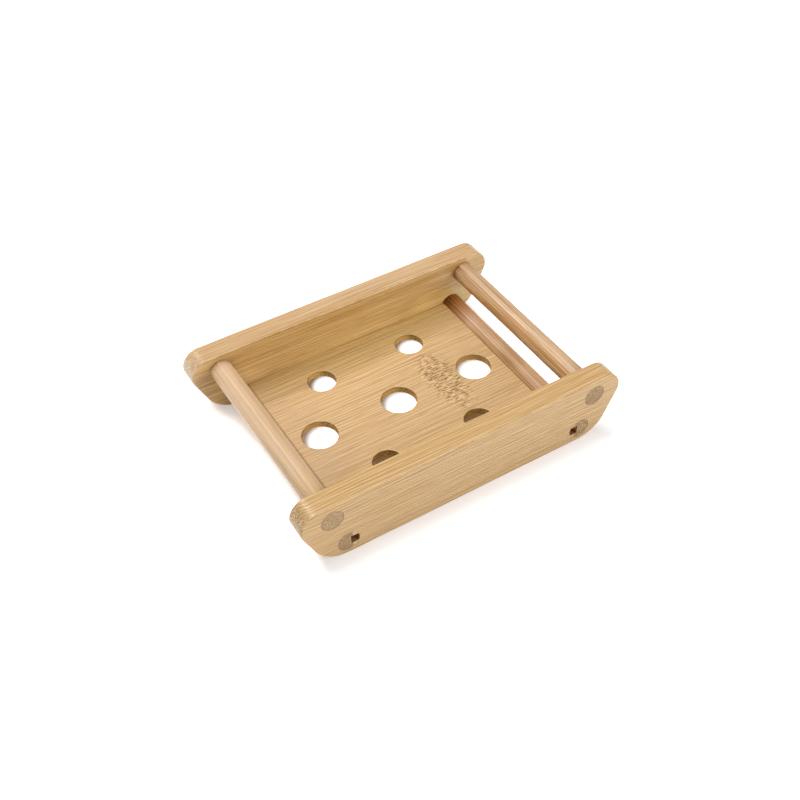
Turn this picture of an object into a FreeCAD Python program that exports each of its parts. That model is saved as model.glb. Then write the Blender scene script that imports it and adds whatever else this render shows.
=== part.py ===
import FreeCAD, Part
import math
import os
import Sketcher

# Bamboo soap dish: two sled-shaped side rails, four dowels through them and a drilled drain panel.
# Frame: X along the rails, Y from the front rail to the rear rail, Z up, origin on the table at the middle.

doc = FreeCAD.newDocument("SoapDish")
sheet = doc.addObject("Spreadsheet::Sheet", "Sizes")

# Driving dimensions in millimetres, angles in degrees
sizes = [
    ("rail_length", 120.0, "length over the rounded noses of a rail"),
    ("overall_width", 86.0, "width over the outer faces of the two rails"),
    ("rail_height", 24.6, "height of a rail above the table"),
    ("rail_thickness", 8.0, "thickness of a rail"),
    ("nose_radius", 6.4, "rounding between the top of a rail and its slanted end"),
    ("sled_angle", 65.5, "slope of the slanted end above the table"),
    ("heel_radius", 12.4, "rounding between the slanted end and the underside"),
    ("edge_easing", 0.6, "sanded rounding along the edges of a rail"),
    ("dowel_diameter", 7.7, "diameter of the four dowels"),
    ("upper_dowel_inset", 10.6, "from the nose of a rail to the axis of an upper dowel"),
    ("lower_dowel_inset", 15.5, "from the nose of a rail to the axis of a lower dowel"),
    ("wall_over_bore", 2.05, "wood between an upper bore and the top of a rail"),
    ("wall_under_bore", 1.65, "wood between a lower bore and the underside of a rail"),
    ("glue_gap", 0.1, "glue film round a dowel in its bore and on each side of a panel end in its groove"),
    ("groove_depth", 3.0, "depth of the groove along a lower dowel"),
    ("panel_thickness", 2.8, "thickness of the drain panel"),
    ("panel_end_gap", 0.2, "from the end of the panel to the floor of its groove"),
    ("panel_side_gap", 0.15, "from the long edge of the panel to a rail"),
    ("row_hole_diameter", 12.6, "drain holes of the middle row"),
    ("row_end_inset", 13.5, "from the axis of a lower dowel to the end hole of the middle row"),
    ("side_hole_diameter", 10.3, "drain holes of the two side rows"),
    ("side_hole_spacing", 36.0, "between the two holes of a side row"),
    ("side_row_inset", 12.5, "from the inner face of a rail to the side row beside it"),
    ("hole_easing", 0.3, "sanded rounding at the upper rim of a drain hole"),
]
for line, (alias, value, meaning) in enumerate(sizes, start=1):
    sheet.set("A%d" % line, alias)
    sheet.set("B%d" % line, repr(value))
    sheet.set("C%d" % line, meaning)
    sheet.setAlias("B%d" % line, alias)

# Sizes and places that follow from the driving dimensions
derived = [
    ("bore_diameter", "=dowel_diameter + 2 * glue_gap"),
    ("nose_centre_x", "=rail_length / 2 - nose_radius"),
    ("upper_dowel_x", "=rail_length / 2 - upper_dowel_inset"),
    ("upper_dowel_z", "=rail_height - wall_over_bore - bore_diameter / 2"),
    ("lower_dowel_x", "=rail_length / 2 - lower_dowel_inset"),
    ("lower_dowel_z", "=wall_under_bore + bore_diameter / 2"),
    ("groove_width", "=panel_thickness + 2 * glue_gap"),
    ("groove_floor", "=dowel_diameter / 2 - groove_depth"),
    ("panel_length", "=2 * (lower_dowel_x - groove_floor - panel_end_gap)"),
    ("panel_width", "=overall_width - 2 * rail_thickness - 2 * panel_side_gap"),
    ("panel_bottom_z", "=lower_dowel_z - panel_thickness / 2"),
    ("row_end_x", "=lower_dowel_x - row_end_inset"),
    ("side_hole_x", "=side_hole_spacing / 2"),
    ("side_row_y", "=overall_width / 2 - rail_thickness - side_row_inset"),
]
for line, (alias, formula) in enumerate(derived, start=len(sizes) + 1):
    sheet.set("A%d" % line, alias)
    sheet.set("B%d" % line, formula)
    sheet.setAlias("B%d" % line, alias)
doc.recompute()

flat = 1e-6      # distance below which two coordinates are the same


def size(alias):
    # Value of a cell, for the first placing of sketch geometry
    return float(getattr(sheet, alias))


def point(x, y):
    return FreeCAD.Vector(x, y, 0)


def new_body(label):
    body = doc.addObject("PartDesign::Body", label)
    body.Label = label
    return body


def new_sketch(body, name, role):
    # Sketch on one of the body's own origin planes
    sketch = body.newObject("Sketcher::SketchObject", name)
    plane = [feature for feature in body.Origin.OriginFeatures if feature.Role == role][0]
    sketch.AttachmentSupport = [(plane, "")]
    sketch.MapMode = "FlatFace"
    return sketch


def drive(sketch, constraint, expression):
    # Adds a dimension and binds it to the sheet
    index = sketch.addConstraint(constraint)
    sketch.setExpression("Constraints[%d]" % index, expression)


def place(body, x="0", y="0", z="0"):
    # Binds the place of a body to the sheet
    body.setExpression("Placement.Base.x", "(%s) * 1 mm" % x)
    body.setExpression("Placement.Base.y", "(%s) * 1 mm" % y)
    body.setExpression("Placement.Base.z", "(%s) * 1 mm" % z)


def pad(body, sketch, name, length, reverse):
    feature = body.newObject("PartDesign::Pad", name)
    feature.Profile = sketch
    feature.Reversed = reverse
    feature.setExpression("Length", "%s * 1 mm" % length)
    doc.recompute()
    return feature


def cut_through(body, sketch, name, reverse):
    # Cuts the sketch right through the body and makes sure that wood is taken away
    before = body.Shape.Volume
    feature = body.newObject("PartDesign::Pocket", name)
    feature.Profile = sketch
    feature.Type = "ThroughAll"
    feature.Reversed = reverse
    doc.recompute()
    if not feature.Shape.Volume < before:
        raise RuntimeError("%s cuts nothing" % name)
    return feature


def ease(body, base, name, edges, radius):
    feature = body.newObject("PartDesign::Fillet", name)
    feature.Base = (base, edges)
    feature.setExpression("Radius", "%s * 1 mm" % radius)
    doc.recompute()
    return feature


def circle(sketch, x, y, diameter):
    # One circle, driven by its centre and diameter; x and y are (sign, alias) pairs, or None on an axis
    centre_x = x[0] * size(x[1]) if x else 0.0
    centre_y = y[0] * size(y[1]) if y else 0.0
    ring = sketch.addGeometry(
        Part.Circle(point(centre_x, centre_y), FreeCAD.Vector(0, 0, 1), size(diameter) / 2), False)
    drive(sketch, Sketcher.Constraint("Diameter", ring, size(diameter)), "Sizes.%s * 1 mm" % diameter)
    for kind, across, axis in (("DistanceX", x, -2), ("DistanceY", y, -1)):
        if across is None:
            sketch.addConstraint(Sketcher.Constraint("PointOnObject", ring, 3, axis))
        else:
            drive(sketch, Sketcher.Constraint(kind, -1, 1, ring, 3, across[0] * size(across[1])),
                  "%d * Sizes.%s * 1 mm" % across)


def rectangle(sketch, corner, opposite):
    # Four lines square to the axes, from one corner round by way of the opposite one
    corners = [point(*corner), point(opposite[0], corner[1]), point(*opposite), point(corner[0], opposite[1])]
    following = [1, 2, 3, 0]
    for here, there in enumerate(following):
        sketch.addGeometry(Part.LineSegment(corners[here], corners[there]), False)
    for here, there in enumerate(following):
        sketch.addConstraint(Sketcher.Constraint("Coincident", here, 2, there, 1))
        sketch.addConstraint(Sketcher.Constraint("Vertical" if here % 2 else "Horizontal", here))


def rail_outline(sketch):
    # Flat top, a nose arc, a straight slanted end and a heel arc on each side, and a flat underside
    top = size("rail_height")
    nose = size("nose_radius")
    heel = size("heel_radius")
    lean = math.radians(90.0 - size("sled_angle"))
    nose_x = size("nose_centre_x")
    nose_z = top - nose
    heel_x = nose_x + (nose - heel + (heel - nose_z) * math.sin(lean)) / math.cos(lean)
    out_x, out_z = math.cos(lean), -math.sin(lean)
    nose_end = (nose_x + nose * out_x, nose_z + nose * out_z)
    heel_end = (heel_x + heel * out_x, heel + heel * out_z)
    right, up, left, down = 0.0, math.pi / 2, math.pi, 3 * math.pi / 2

    def line(start, end):
        return Part.LineSegment(point(*start), point(*end))

    def arc(x, z, radius, first, last):
        return Part.ArcOfCircle(Part.Circle(point(x, z), FreeCAD.Vector(0, 0, 1), radius), first, last)

    sketch.addGeometry([
        line((nose_x, top), (-nose_x, top)),
        arc(-nose_x, nose_z, nose, up, left + lean),
        line((-nose_end[0], nose_end[1]), (-heel_end[0], heel_end[1])),
        arc(-heel_x, heel, heel, left + lean, down),
        line((-heel_x, 0), (heel_x, 0)),
        arc(heel_x, heel, heel, -up, right - lean),
        line(heel_end, nose_end),
        arc(nose_x, nose_z, nose, right - lean, up),
    ], False)
    stretches = range(8)
    top_line, left_nose, left_end, left_heel, bottom, right_heel, right_end, right_nose = stretches
    for here in stretches:
        following = (here + 1) % len(stretches)
        sketch.addConstraint(Sketcher.Constraint("Tangent", here, 2, following, 1))
    sketch.addConstraint([
        Sketcher.Constraint("PointOnObject", bottom, 1, -1),
        Sketcher.Constraint("Symmetric", bottom, 1, bottom, 2, -2),
        Sketcher.Constraint("Symmetric", top_line, 1, top_line, 2, -2),
        Sketcher.Constraint("Equal", left_nose, right_nose),
        Sketcher.Constraint("Equal", left_heel, right_heel),
    ])
    drive(sketch, Sketcher.Constraint("Radius", right_nose, nose), "Sizes.nose_radius * 1 mm")
    drive(sketch, Sketcher.Constraint("Radius", right_heel, heel), "Sizes.heel_radius * 1 mm")
    drive(sketch, Sketcher.Constraint("DistanceX", -1, 1, right_nose, 3, nose_x),
          "Sizes.nose_centre_x * 1 mm")
    drive(sketch, Sketcher.Constraint("DistanceY", -1, 1, top_line, 1, top), "Sizes.rail_height * 1 mm")
    drive(sketch, Sketcher.Constraint("Angle", right_end, math.pi / 2 - lean), "Sizes.sled_angle * 1 deg")


def make_rail(label, outer_y):
    # Rail with its thickness along Y, eased along both outlines and bored for the dowels
    body = new_body(label)
    outline = new_sketch(body, "RailOutline", "XZ_Plane")
    rail_outline(outline)
    blank = pad(body, outline, "RailBlank", "Sizes.rail_thickness", True)
    outlines = ["Edge%d" % number for number, edge in enumerate(blank.Shape.Edges, start=1)
                if edge.BoundBox.YLength < flat]
    ease(body, blank, "SandedEdges", outlines, "Sizes.edge_easing")
    bores = new_sketch(body, "DowelBores", "XZ_Plane")
    for side in (-1, 1):
        circle(bores, (side, "upper_dowel_x"), (1, "upper_dowel_z"), "bore_diameter")
        circle(bores, (side, "lower_dowel_x"), (1, "lower_dowel_z"), "bore_diameter")
    cut_through(body, bores, "DowelHoles", False)
    place(body, y=outer_y)
    return body


def make_dowel(label, side, level, grooved):
    # Dowel along Y, flush with the outer faces of both rails, with its groove facing the panel
    body = new_body(label)
    section = new_sketch(body, "DowelSection", "XZ_Plane")
    circle(section, None, None, "dowel_diameter")
    pad(body, section, "DowelStick", "Sizes.overall_width", True)
    if grooved:
        groove = new_sketch(body, "GrooveSection", "XZ_Plane")
        inward = -side
        mouth = inward * size("dowel_diameter")
        floor = inward * size("groove_floor")
        half = size("groove_width") / 2
        rectangle(groove, (mouth, -half), (floor, half))
        drive(groove, Sketcher.Constraint("DistanceX", -1, 1, 0, 1, mouth),
              "%d * Sizes.dowel_diameter * 1 mm" % inward)
        drive(groove, Sketcher.Constraint("DistanceX", -1, 1, 1, 1, floor),
              "%d * Sizes.groove_floor * 1 mm" % inward)
        drive(groove, Sketcher.Constraint("DistanceY", -1, 1, 1, 2, half), "Sizes.groove_width / 2 * 1 mm")
        drive(groove, Sketcher.Constraint("DistanceY", 1, 1, 1, 2, 2 * half), "Sizes.groove_width * 1 mm")
        cut_through(body, groove, "PanelGroove", False)
    place(body, "%d * Sizes.%s_dowel_x" % (side, level), "-Sizes.overall_width / 2",
          "Sizes.%s_dowel_z" % level)
    return body


def make_panel(label):
    # Flat floor with a middle row of three holes and a row of two smaller holes beside each rail
    body = new_body(label)
    outline = new_sketch(body, "PanelOutline", "XY_Plane")
    half_x, half_y = size("panel_length") / 2, size("panel_width") / 2
    rectangle(outline, (-half_x, -half_y), (half_x, half_y))
    outline.addConstraint(Sketcher.Constraint("Symmetric", 0, 1, 1, 2, -1, 1))
    drive(outline, Sketcher.Constraint("DistanceX", 0, 1, 0, 2, 2 * half_x), "Sizes.panel_length * 1 mm")
    drive(outline, Sketcher.Constraint("DistanceY", 1, 1, 1, 2, 2 * half_y), "Sizes.panel_width * 1 mm")
    pad(body, outline, "PanelSheet", "Sizes.panel_thickness", False)
    holes = new_sketch(body, "DrainHoles", "XY_Plane")
    circle(holes, None, None, "row_hole_diameter")
    for end in (-1, 1):
        circle(holes, (end, "row_end_x"), None, "row_hole_diameter")
        for row in (-1, 1):
            circle(holes, (end, "side_hole_x"), (row, "side_row_y"), "side_hole_diameter")
    drilled = cut_through(body, holes, "DrilledHoles", True)
    top = size("panel_thickness")
    rims = ["Edge%d" % number for number, edge in enumerate(drilled.Shape.Edges, start=1)
            if isinstance(edge.Curve, Part.Circle) and abs(edge.BoundBox.ZMin - top) < flat
            and edge.BoundBox.ZLength < flat]
    ease(body, drilled, "SandedRims", rims, "Sizes.hole_easing")
    place(body, z="Sizes.panel_bottom_z")
    return body


parts = [
    make_rail("front_rail", "-Sizes.overall_width / 2"),
    make_rail("rear_rail", "Sizes.overall_width / 2 - Sizes.rail_thickness"),
    make_panel("drain_panel"),
    make_dowel("upper_left_dowel", -1, "upper", False),
    make_dowel("upper_right_dowel", 1, "upper", False),
    make_dowel("lower_left_dowel", -1, "lower", True),
    make_dowel("lower_right_dowel", 1, "lower", True),
]
doc.recompute()

# Nothing is written unless every object is sound
for thing in doc.Objects:
    if "Invalid" in thing.State or "Error" in thing.State:
        raise RuntimeError("%s failed: %s" % (thing.Name, thing.State))
for body in parts:
    if body.Shape.isNull() or not body.Shape.isValid() or len(body.Shape.Solids) != 1:
        raise RuntimeError("%s is not one sound solid" % body.Label)

os.makedirs("parts", exist_ok=True)
for body in parts:
    body.Shape.exportStep("parts/%s.step" % body.Label)
    box = body.Shape.optimalBoundingBox(True, False)
    print("%-18s volume %8.1f mm3, x %.2f to %.2f, y %.2f to %.2f, z %.2f to %.2f" % (
        body.Label, body.Shape.Volume, box.XMin, box.XMax, box.YMin, box.YMax, box.ZMin, box.ZMax))
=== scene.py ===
import bmesh
import bpy
import numpy as np
from math import radians
from mathutils import Matrix, Vector


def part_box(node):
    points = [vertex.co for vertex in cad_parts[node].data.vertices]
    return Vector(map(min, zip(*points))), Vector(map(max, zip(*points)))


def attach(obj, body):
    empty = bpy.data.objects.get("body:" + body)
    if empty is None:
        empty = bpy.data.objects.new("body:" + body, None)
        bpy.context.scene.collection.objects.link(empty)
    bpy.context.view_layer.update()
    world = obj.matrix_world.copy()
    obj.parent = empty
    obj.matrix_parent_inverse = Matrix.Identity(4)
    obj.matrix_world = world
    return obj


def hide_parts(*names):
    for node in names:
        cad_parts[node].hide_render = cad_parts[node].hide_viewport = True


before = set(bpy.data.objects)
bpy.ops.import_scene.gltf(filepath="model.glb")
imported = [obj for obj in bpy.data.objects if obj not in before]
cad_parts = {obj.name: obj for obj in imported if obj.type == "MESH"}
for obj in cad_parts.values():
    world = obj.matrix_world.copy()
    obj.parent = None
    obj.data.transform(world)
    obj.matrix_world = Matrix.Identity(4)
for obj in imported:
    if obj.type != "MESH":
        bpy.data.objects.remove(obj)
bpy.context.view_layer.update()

mm = 0.001  # sizes below are in millimetres unless they say otherwise
print("frame loaded:", len(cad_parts), "CAD nodes")


# Lowest and highest corner of a CAD node: its box, divided by a millimetre.
def nodeBox(node):
    low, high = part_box(node)
    return np.array(low) / mm, np.array(high) / mm


# A place in metres: each of its numbers times a millimetre.
def metres(place):
    return tuple(value * mm for value in place)


# A patch is a grid of points, rows by columns, and what the surface is at each point: endGrain where it cuts
# the fibres, worn on eased edges, which are paled partly by wear and partly by a painted highlight,
# bored in a hole, inner on a rail's inside.
markNames = ("endGrain", "worn", "bored", "inner")


# A mark is a share from 0 to 1. One number, row or column of it is spread over the grid, and none given is 0.
def patch(points, closed=False, **marks):
    shape = points.shape[:2]
    filled = [np.broadcast_to(marks.get(name, 0.0), shape) for name in markNames]
    return {"points": points, "closed": closed, "marks": np.stack(filled, -1)}


# The shift keeps round sizes off the edges of the cells.
weld = {"cell": 0.0005, "shift": 0.317, "sharpAngle": 35.0}


# Four neighbouring grid points make a quad, and a closed grid also joins its last column to its first.
# Points in the same small cell, the whole part of place / cell + shift, become one vertex. A quad that
# loses a corner this way becomes a triangle.
def buildMesh(name, patches):
    points, quads, marks, start = [], [], [], 0
    for item in patches:
        rows, columns = item["points"].shape[:2]
        index = start + np.arange(rows * columns).reshape(rows, columns)
        if item["closed"]:
            index = np.hstack([index, index[:, :1]])
        corners = (index[:-1, :-1], index[:-1, 1:], index[1:, 1:], index[1:, :-1])
        quads.append(np.stack(corners, -1).reshape(-1, 4))
        points.append(item["points"].reshape(-1, 3))
        marks.append(item["marks"].reshape(-1, len(markNames)))
        start += rows * columns
    points, quads, marks = np.concatenate(points), np.concatenate(quads), np.concatenate(marks)
    cells = np.floor(points / weld["cell"] + weld["shift"]).astype(np.int64)
    first, merged = np.unique(cells, axis=0, return_index=True, return_inverse=True)[1:]
    quads = merged.reshape(-1)[quads]
    lost = quads == np.roll(quads, -1, axis=1)
    whole, cut = lost.sum(1) == 0, lost.sum(1) == 1
    faces = quads[whole].tolist() + quads[cut][~lost[cut]].reshape(-1, 3).tolist()
    mesh = bpy.data.meshes.new(name)
    mesh.from_pydata((points[first] * mm).tolist(), [], faces)
    for column, markName in enumerate(markNames):
        mark = mesh.attributes.new(markName, "FLOAT", "POINT")
        mark.data.foreach_set("value", marks[first, column].astype(np.float32))
    solid = bmesh.new()
    solid.from_mesh(mesh)
    bmesh.ops.recalc_face_normals(solid, faces=solid.faces)
    solid.to_mesh(mesh)
    solid.free()
    mesh.shade_smooth()
    mesh.set_sharp_from_angle(angle=radians(weld["sharpAngle"]))
    return mesh


# The piece rides on the one body of the dish and stands for its CAD node. Its place is in its mesh.
def placePiece(node, patches, material):
    piece = bpy.data.objects.new(node + "_wood", buildMesh(node + "_wood", patches))
    bpy.context.scene.collection.objects.link(piece)
    piece.data.materials.append(material)
    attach(piece, "root")
    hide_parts(node)
    print("built", piece.name, "with", len(piece.data.polygons), "faces")


# Quarter round from a face into a wall: the inset shrinks as 1 - sin and the depth grows as 1 - cos.
def quarterRound(radius, steps):
    turn = np.linspace(0, np.pi / 2, steps)
    return radius * (1 - np.sin(turn)), radius * (1 - np.cos(turn))


sandingWaves = ((1.0, 1.0, 1.0), (0.6, 2.3, 1.7), (0.4, 5.1, 1.0))  # height, rate and share of the phase


# Slow unevenness of hand sanding, between -1 and 1: half the sum of three sines of unlike length.
def sandingWave(along, length, phase):
    turn = 2 * np.pi * along / length
    return sum(height * np.sin(rate * turn + share * phase) for height, rate, share in sandingWaves) / 2


# Rows of points round a bore: shares of the way from the rim out to the border, then the rim and the wall.
bore = {"shares": (1, 0.97, 0.9, 0.75, 0.55, 0.35, 0.18, 0.06), "easingRows": 5, "wallRows": 3}


# A block of a flat board with one round hole. Rows run from the block's border to the hole's rim on the
# first face, round the eased rim, through the hole and out to the border on the second face. Each border
# point keeps its own direction from the centre: a row is centre + direction * ring, moved by its share of
# the way to the border.
def boredBlock(border, centre, radius, easings, faces, place, inner=(0.0, 0.0)):
    away = border - centre
    direction = away / np.linalg.norm(away, axis=1, keepdims=True)
    shares = np.array(bore["shares"])
    flat, bend = np.ones(len(shares)), np.linspace(0, 1, bore["easingRows"])
    side = np.sign(faces[1] - faces[0])
    halves = []
    for face, easing, inside, way in zip(faces, easings, inner, (side, -side)):
        inset, drop = quarterRound(easing, bore["easingRows"])
        rows = (
            (flat * (radius + easing), radius + inset),  # ring
            (flat * face, face + way * drop),  # depth
            (shares, bend * 0),  # share of the way to the border
            (flat * 0, np.sin(np.pi * bend)),  # worn: wear and a painted highlight on the eased rim
            (flat * 0, bend),  # bored
            (flat * inside, inside * (1 - bend)),  # inner
        )
        halves.append(np.stack([np.concatenate(pair) for pair in rows]))
    first, second = halves[0], halves[1][:, ::-1]
    wall = np.linspace(first[1, -1], second[1, 0], bore["wallRows"] + 2)[1:-1]
    none = wall * 0
    middle = np.stack([none + radius, wall, none, none, none + 1, none])
    ring, depth, share, worn, bored, inside = np.hstack([first, middle, second])[:, :, None]
    flatPoints = centre + direction * ring[:, :, None]
    flatPoints = flatPoints + share[:, :, None] * (border - flatPoints)
    points = place(flatPoints, np.broadcast_to(depth, flatPoints.shape[:2]))
    cut = bored * np.abs(direction[:, 0])
    return patch(points, True, endGrain=cut, worn=worn, bored=bored, inner=inside)


# Side rails: a flat top, a round nose, a straight sled run and a round heel at each end, four dowel bores.
rail = {
    "noseRadius": 6.4, "heelRadius": 12.4, "sledAngle": 65.5,  # degrees from the floor
    "easing": 0.6, "easingSpread": 0.16, "easingWaves": 5, "boreGap": 0.02, "boreEasing": 0.03,
    "blockEdge": 34.0, "sledSplit": 0.42,  # where the flat faces are cut into blocks
    "topSteps": 26, "noseSteps": 30, "sledSteps": (8, 10), "heelSteps": 28, "footSteps": 14,
    "middleSteps": 85, "easingRows": 7, "wallRows": 7, "riseSteps": 14, "cutPoints": 22,
}


# Right half of the outline from the top down, as x, z and the outward normal: line, arc, line, arc, line.
# The sled run is tangent to both arcs, which fixes the heel's centre.
def railHalf(length, height):
    tilt = radians(90 - rail["sledAngle"])
    nose, heel, edge = rail["noseRadius"], rail["heelRadius"], rail["blockEdge"]
    noseX, noseZ = length / 2 - nose, height - nose
    normal = np.array([np.cos(tilt), -np.sin(tilt)])
    heelX = (normal @ (noseX, noseZ) + nose - heel + heel * np.sin(tilt)) / normal[0]

    def arc(x, z, radius, start, end, steps):  # centre + radius * normal, the normal being cos and sin
        turn = np.linspace(start, end, steps, endpoint=False)
        ring = np.stack([np.cos(turn), np.sin(turn)], 1)
        return np.hstack([ring * radius + (x, z), ring])

    def line(start, end, way, steps):  # start + share * (end - start), with one normal
        part = np.linspace(start, end, steps, endpoint=False)
        return np.hstack([part, np.broadcast_to(way, part.shape)])

    sledTop = np.array([noseX, noseZ]) + nose * normal
    sledEnd = np.array([heelX, heel]) + heel * normal
    sledMid = sledTop + rail["sledSplit"] * (sledEnd - sledTop)
    parts = [
        line((edge, height), (noseX, height), (0, 1), rail["topSteps"]),
        arc(noseX, noseZ, nose, np.pi / 2, -tilt, rail["noseSteps"]),
        line(sledTop, sledMid, normal, rail["sledSteps"][0]),
        line(sledMid, sledEnd, normal, rail["sledSteps"][1]),
        arc(heelX, heel, heel, -tilt, -np.pi / 2, rail["heelSteps"]),
        line((heelX, 0), (edge, 0), (0, -1), rail["footSteps"]),
        np.array([[edge, 0, 0, -1]]),
    ]
    return np.concatenate(parts), sum(len(part) for part in parts[:3])


# The outline is the right half, the foot, the mirrored half and the top. Its edge is carried through the
# board as outline - normal * inset, and the two flat faces inside it are filled with blocks.
def railPatches(node, bores, phase):
    low, high = nodeBox(node)
    length, height = high[0] - low[0], high[2] - low[2]
    outer, innerFace = (low[1], high[1]) if low[1] < 0 else (high[1], low[1])
    side = np.sign(innerFace - outer)
    half, split = railHalf(length, height)
    edge = rail["blockEdge"]
    middleX = np.linspace(edge, -edge, rail["middleSteps"] + 1)
    flat = np.zeros_like(middleX)
    bottom = np.stack([middleX, flat, flat, flat - 1], 1)
    top = np.stack([-middleX, flat + height, flat, flat + 1], 1)
    mirrored = half[::-1] * (-1, 1, -1, 1)
    outline = np.concatenate([half[:-1], bottom[:-1], mirrored[:-1], top[:-1]])
    run = np.cumsum(np.linalg.norm(np.diff(outline[:, :2], axis=0, prepend=outline[-1:, :2]), axis=1))
    wave = sandingWave(run, run[-1] / rail["easingWaves"], phase)
    easing = rail["easing"] - rail["easingSpread"] * (0.5 + 0.5 * wave)

    def place(flatPoints, depth):  # x and z are flat, y is the depth
        return np.stack([flatPoints[..., 0], depth, flatPoints[..., 1]], -1)

    # Eased outline carried through the board's thickness: quarter round, straight wall, quarter round.
    inset, drop = quarterRound(1.0, rail["easingRows"])
    bend = np.linspace(0, 1, rail["easingRows"])
    wall = np.linspace(0, 1, rail["wallRows"] + 2)[1:-1]
    insets = np.concatenate([inset, wall * 0, inset[::-1]])[:, None] * easing
    nearRows = outer + side * drop[:, None] * easing
    farRows = innerFace - side * drop[::-1, None] * easing
    wallRows = nearRows[-1] + wall[:, None] * (farRows[0] - nearRows[-1])
    depths = np.concatenate([nearRows, wallRows, farRows])
    points = place(outline[:, :2] - insets[:, :, None] * outline[:, 2:], depths)
    lean = np.concatenate([bend, wall * 0 + 1, bend[::-1]])[:, None]
    worn = np.concatenate([np.sin(np.pi * bend), wall * 0, np.sin(np.pi * bend)])[:, None]
    inside = np.concatenate([bend * 0, wall * 0, bend])[:, None]
    patches = [patch(points, True, endGrain=lean * np.abs(outline[:, 2]), worn=worn, inner=inside)]

    # Two flat faces, cut into a plain middle block and four blocks with one bore each.
    rim = outline[:, :2] - easing[:, None] * outline[:, 2:]
    ends = np.cumsum([0, len(half) - 1, len(middleX) - 1, len(half) - 1])
    middle = rail["riseSteps"]
    rises = np.concatenate([np.linspace(0, 0.5, middle, endpoint=False), np.linspace(0.5, 1, middle + 1)])
    lower, upper = rim[ends[1]:ends[2] + 1], np.concatenate([rim[ends[3]:], rim[:1]])[::-1]
    middleGrid = lower + rises[:, None, None] * (upper - lower)
    for face, shareInside in ((outer, 0.0), (innerFace, 1.0)):
        patches.append(patch(place(middleGrid, np.full(middleGrid.shape[:2], face)), inner=shareInside))
    rightOuter, leftOuter = rim[:ends[1] + 1], rim[ends[2]:ends[3] + 1][::-1]
    easings = (rail["boreEasing"], rail["boreEasing"])
    for border, pair in ((rightOuter, bores["right"]), (leftOuter, bores["left"])):
        upright = border[-1] + rises[:, None] * (border[0] - border[-1])
        cut = np.linspace(border[split], upright[middle], rail["cutPoints"] + 2)[1:-1]
        upperLoop = np.concatenate([border[:split + 1], cut, upright[middle:-1]])
        lowerLoop = np.concatenate([border[split:], upright[1:middle + 1], cut[::-1]])
        for loop, (centre, radius) in ((upperLoop, pair[0]), (lowerLoop, pair[1])):
            hole = radius + rail["boreGap"]
            patches.append(boredBlock(loop, centre, hole, easings, (outer, innerFace), place, (0.0, 1.0)))
    return patches


# Dowel sticks. The upper pair is round, the lower pair has a groove for the panel.
dowel = {
    "endEasing": 0.12, "endInset": 0.03, "endCut": (1, 0.9, 0.6),  # how far the eased end shows cut fibres
    "flats": 11, "flatDepth": 0.05, "drift": 0.25, "driftLength": 70.0,
    "grooveWidth": 3.0, "grooveDepth": 3.0, "rimWidth": 0.8, "rimOver": 0.3, "lipFade": 1.4, "grooveCut": 0.6,
    "roundSteps": 88, "lengthRows": 96, "easingRows": 4, "discShares": (1, 0.93, 0.75, 0.5, 0.25, 0),
    "lipSteps": 16, "bodySteps": 40, "lipRows": 6, "slotRows": 9,
}


# Axis in the side view, and radius, from the CAD box: the radius is half its height and the axis its middle.
# A grooved stick lacks its inner side, so its axis is one radius in from its outer side.
def dowelAxis(node, grooved):
    low, high = nodeBox(node)
    radius = (high[2] - low[2]) / 2
    centreX = (low[0] + high[0]) / 2
    if grooved:
        centreX = low[0] + radius if centreX < 0 else high[0] - radius
    return np.array([centreX, (low[2] + high[2]) / 2]), radius


# Round stick: a circle carried along Y. Shallow flats from planing take up to flatDepth off the radius,
# by a cosine round the stick that drifts slowly along it. Each end is eased and closed by a disc.
def roundDowel(node, phase):
    low, high = nodeBox(node)
    centre, radius = dowelAxis(node, False)
    turn = np.linspace(0, 2 * np.pi, dowel["roundSteps"], endpoint=False)
    inset, drop = quarterRound(dowel["endEasing"], dowel["easingRows"])
    start, end = low[1] + dowel["endInset"], high[1] - dowel["endInset"]
    body = np.linspace(start + drop[-1], end - drop[-1], dowel["lengthRows"])
    along = np.concatenate([start + drop[:-1], body, end - drop[-2::-1]])
    shrink = np.concatenate([inset[:-1], body * 0, inset[-2::-1]])
    drift = phase + dowel["drift"] * sandingWave(along, dowel["driftLength"], phase)
    flats = 0.5 - 0.5 * np.cos(dowel["flats"] * turn[None, :] + drift[:, None])
    reach = radius - shrink[:, None] - dowel["flatDepth"] * flats
    ring = np.stack([np.cos(turn), np.sin(turn)], 1)
    flatPoints = centre + reach[:, :, None] * ring
    rows = np.broadcast_to(along[:, None], flatPoints.shape[:2])
    points = np.stack([flatPoints[..., 0], rows, flatPoints[..., 1]], -1)
    rise = np.sin(np.linspace(0, np.pi / 2, len(inset) - 1))
    worn = np.concatenate([rise, body * 0, rise[::-1]])
    cut = np.concatenate([dowel["endCut"], body * 0, dowel["endCut"][::-1]])
    patches = [patch(points, True, worn=worn[:, None], endGrain=cut[:, None])]
    shares = np.array(dowel["discShares"])[:, None, None]
    for row in (0, -1):
        disc = points[row] * shares + np.array([centre[0], along[row], centre[1]]) * (1 - shares)
        patches.append(patch(disc, True, endGrain=1.0))
    return patches


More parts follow.
